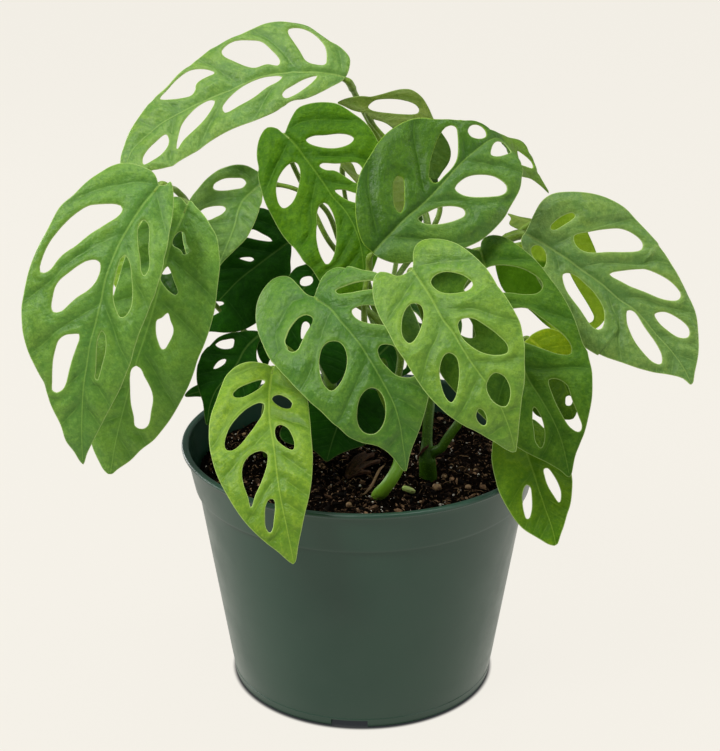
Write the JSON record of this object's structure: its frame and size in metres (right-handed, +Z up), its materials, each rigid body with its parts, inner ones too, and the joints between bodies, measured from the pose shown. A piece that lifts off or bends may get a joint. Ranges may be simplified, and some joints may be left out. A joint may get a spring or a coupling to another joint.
{
  "type": "potted monstera adansonii",
  "caption": "Swiss-cheese vine in a round tapered nursery pot: perforated heart-shaped leaves on long stalks above dark potting mix.",
  "frame": {"origin": "centre of the pot's underside, on the plane the pot stands on", "axes": "+Z up along the pot's axis, -Y towards the side the leaves face, +X to the right seen from there"},
  "size_m": [0.2902, 0.2359, 0.2931],
  "materials": {
    "pot_plastic": "satin moulded nursery pot",
    "potting_mix": "matte bark and peat mix",
    "stem_green": "satin fleshy green stem",
    "petiole_green": "satin fleshy green stalk",
    "leaf_young": "satin leaf, newest and lightest",
    "leaf_light": "satin leaf, light green",
    "leaf_middle": "satin leaf, middle green",
    "leaf_deep": "satin leaf, deep green",
    "leaf_shaded": "satin leaf inside the crown",
    "leaf_backlit": "pale underside of a leaf"
  },
  "bodies": {
    "root": {"pot": "pot_plastic", "soil": "potting_mix", "stem_main": "stem_green", "stem_right": "stem_green", "stem_front": "stem_green", "stem_back": "stem_green", "stem_left": "stem_green", "leaf_01": "leaf_light", "leaf_02": "leaf_light", "leaf_03": "leaf_light", "leaf_04": "leaf_middle", "leaf_05": "leaf_middle", "leaf_06": "leaf_middle", "leaf_07": "leaf_light", "leaf_08": "leaf_backlit", "leaf_09": "leaf_light", "leaf_10": "leaf_young", "leaf_11": "leaf_young", "leaf_12": "leaf_middle", "leaf_13": "leaf_deep", "leaf_14": "leaf_deep", "leaf_15": "leaf_shaded", "leaf_16": "leaf_shaded", "leaf_17": "leaf_shaded", "leaf_18": "leaf_shaded", "leaf_19": "leaf_shaded", "leaf_20": "leaf_shaded", "leaf_21": "leaf_backlit", "leaf_22": "leaf_deep", "leaf_23": "leaf_backlit", "leaf_24": "leaf_deep", "leaf_25": "leaf_shaded", "leaf_26": "leaf_backlit", "petiole_01": "petiole_green", "petiole_02": "petiole_green", "petiole_03": "petiole_green", "petiole_04": "petiole_green", "petiole_05": "petiole_green", "petiole_06": "petiole_green", "petiole_07": "petiole_green", "petiole_08": "petiole_green", "petiole_09": "petiole_green", "petiole_10": "petiole_green", "petiole_11": "petiole_green", "petiole_12": "petiole_green", "petiole_13": "petiole_green", "petiole_14": "petiole_green", "petiole_15": "petiole_green", "petiole_16": "petiole_green", "petiole_17": "petiole_green", "petiole_18": "petiole_green", "petiole_19": "petiole_green", "petiole_20": "petiole_green", "petiole_21": "petiole_green", "petiole_22": "petiole_green", "petiole_23": "petiole_green", "petiole_24": "petiole_green", "petiole_25": "petiole_green", "petiole_26": "petiole_green"}
  },
  "joints": []
}
